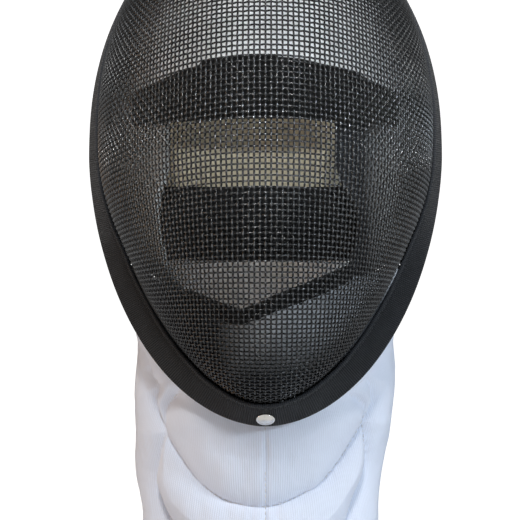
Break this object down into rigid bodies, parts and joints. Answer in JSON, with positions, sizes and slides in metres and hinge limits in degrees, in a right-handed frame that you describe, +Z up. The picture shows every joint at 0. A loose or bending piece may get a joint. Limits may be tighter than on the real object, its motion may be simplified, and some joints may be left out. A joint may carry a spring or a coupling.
{
  "type": "fencing mask",
  "caption": "Fencing mask: woven wire face bowl with a folded tape edge, quilted throat bib, padded linings, a rear tongue and an elastic head strap.",
  "frame": {"origin": "where the crown of a head bears on the crown lining's inner face", "axes": "+Z up, -Y the way the mask faces, +X to the wearer's left"},
  "size_m": [0.241, 0.2352, 0.463],
  "materials": {
    "black_wire": "satin black lacquer on woven steel wire",
    "black_tape": "ribbed woven tape",
    "white_quilt": "quilted knit",
    "nickel": "bright nickel",
    "white_lining": "brushed lining cloth",
    "black_pad": "soft padded cloth",
    "pale_lining": "brushed lining cloth",
    "chin_cloth": "brushed lining cloth",
    "black_binding": "folded binding tape",
    "black_elastic": "woven elastic",
    "cream_cover": "plain cloth over a padded spring plate"
  },
  "bodies": {
    "root": {"wire_mesh": "black_wire", "edge_trim": "black_tape", "bib": "white_quilt", "chin_snap": "nickel", "crown_lining": "white_lining", "forehead_pad": "black_pad", "cheek_lining_left": "pale_lining", "cheek_lining_right": "pale_lining", "chin_lining": "chin_cloth", "lining_binding": "black_binding", "head_strap": "black_elastic", "rear_tongue": "cream_cover"}
  },
  "joints": []
}
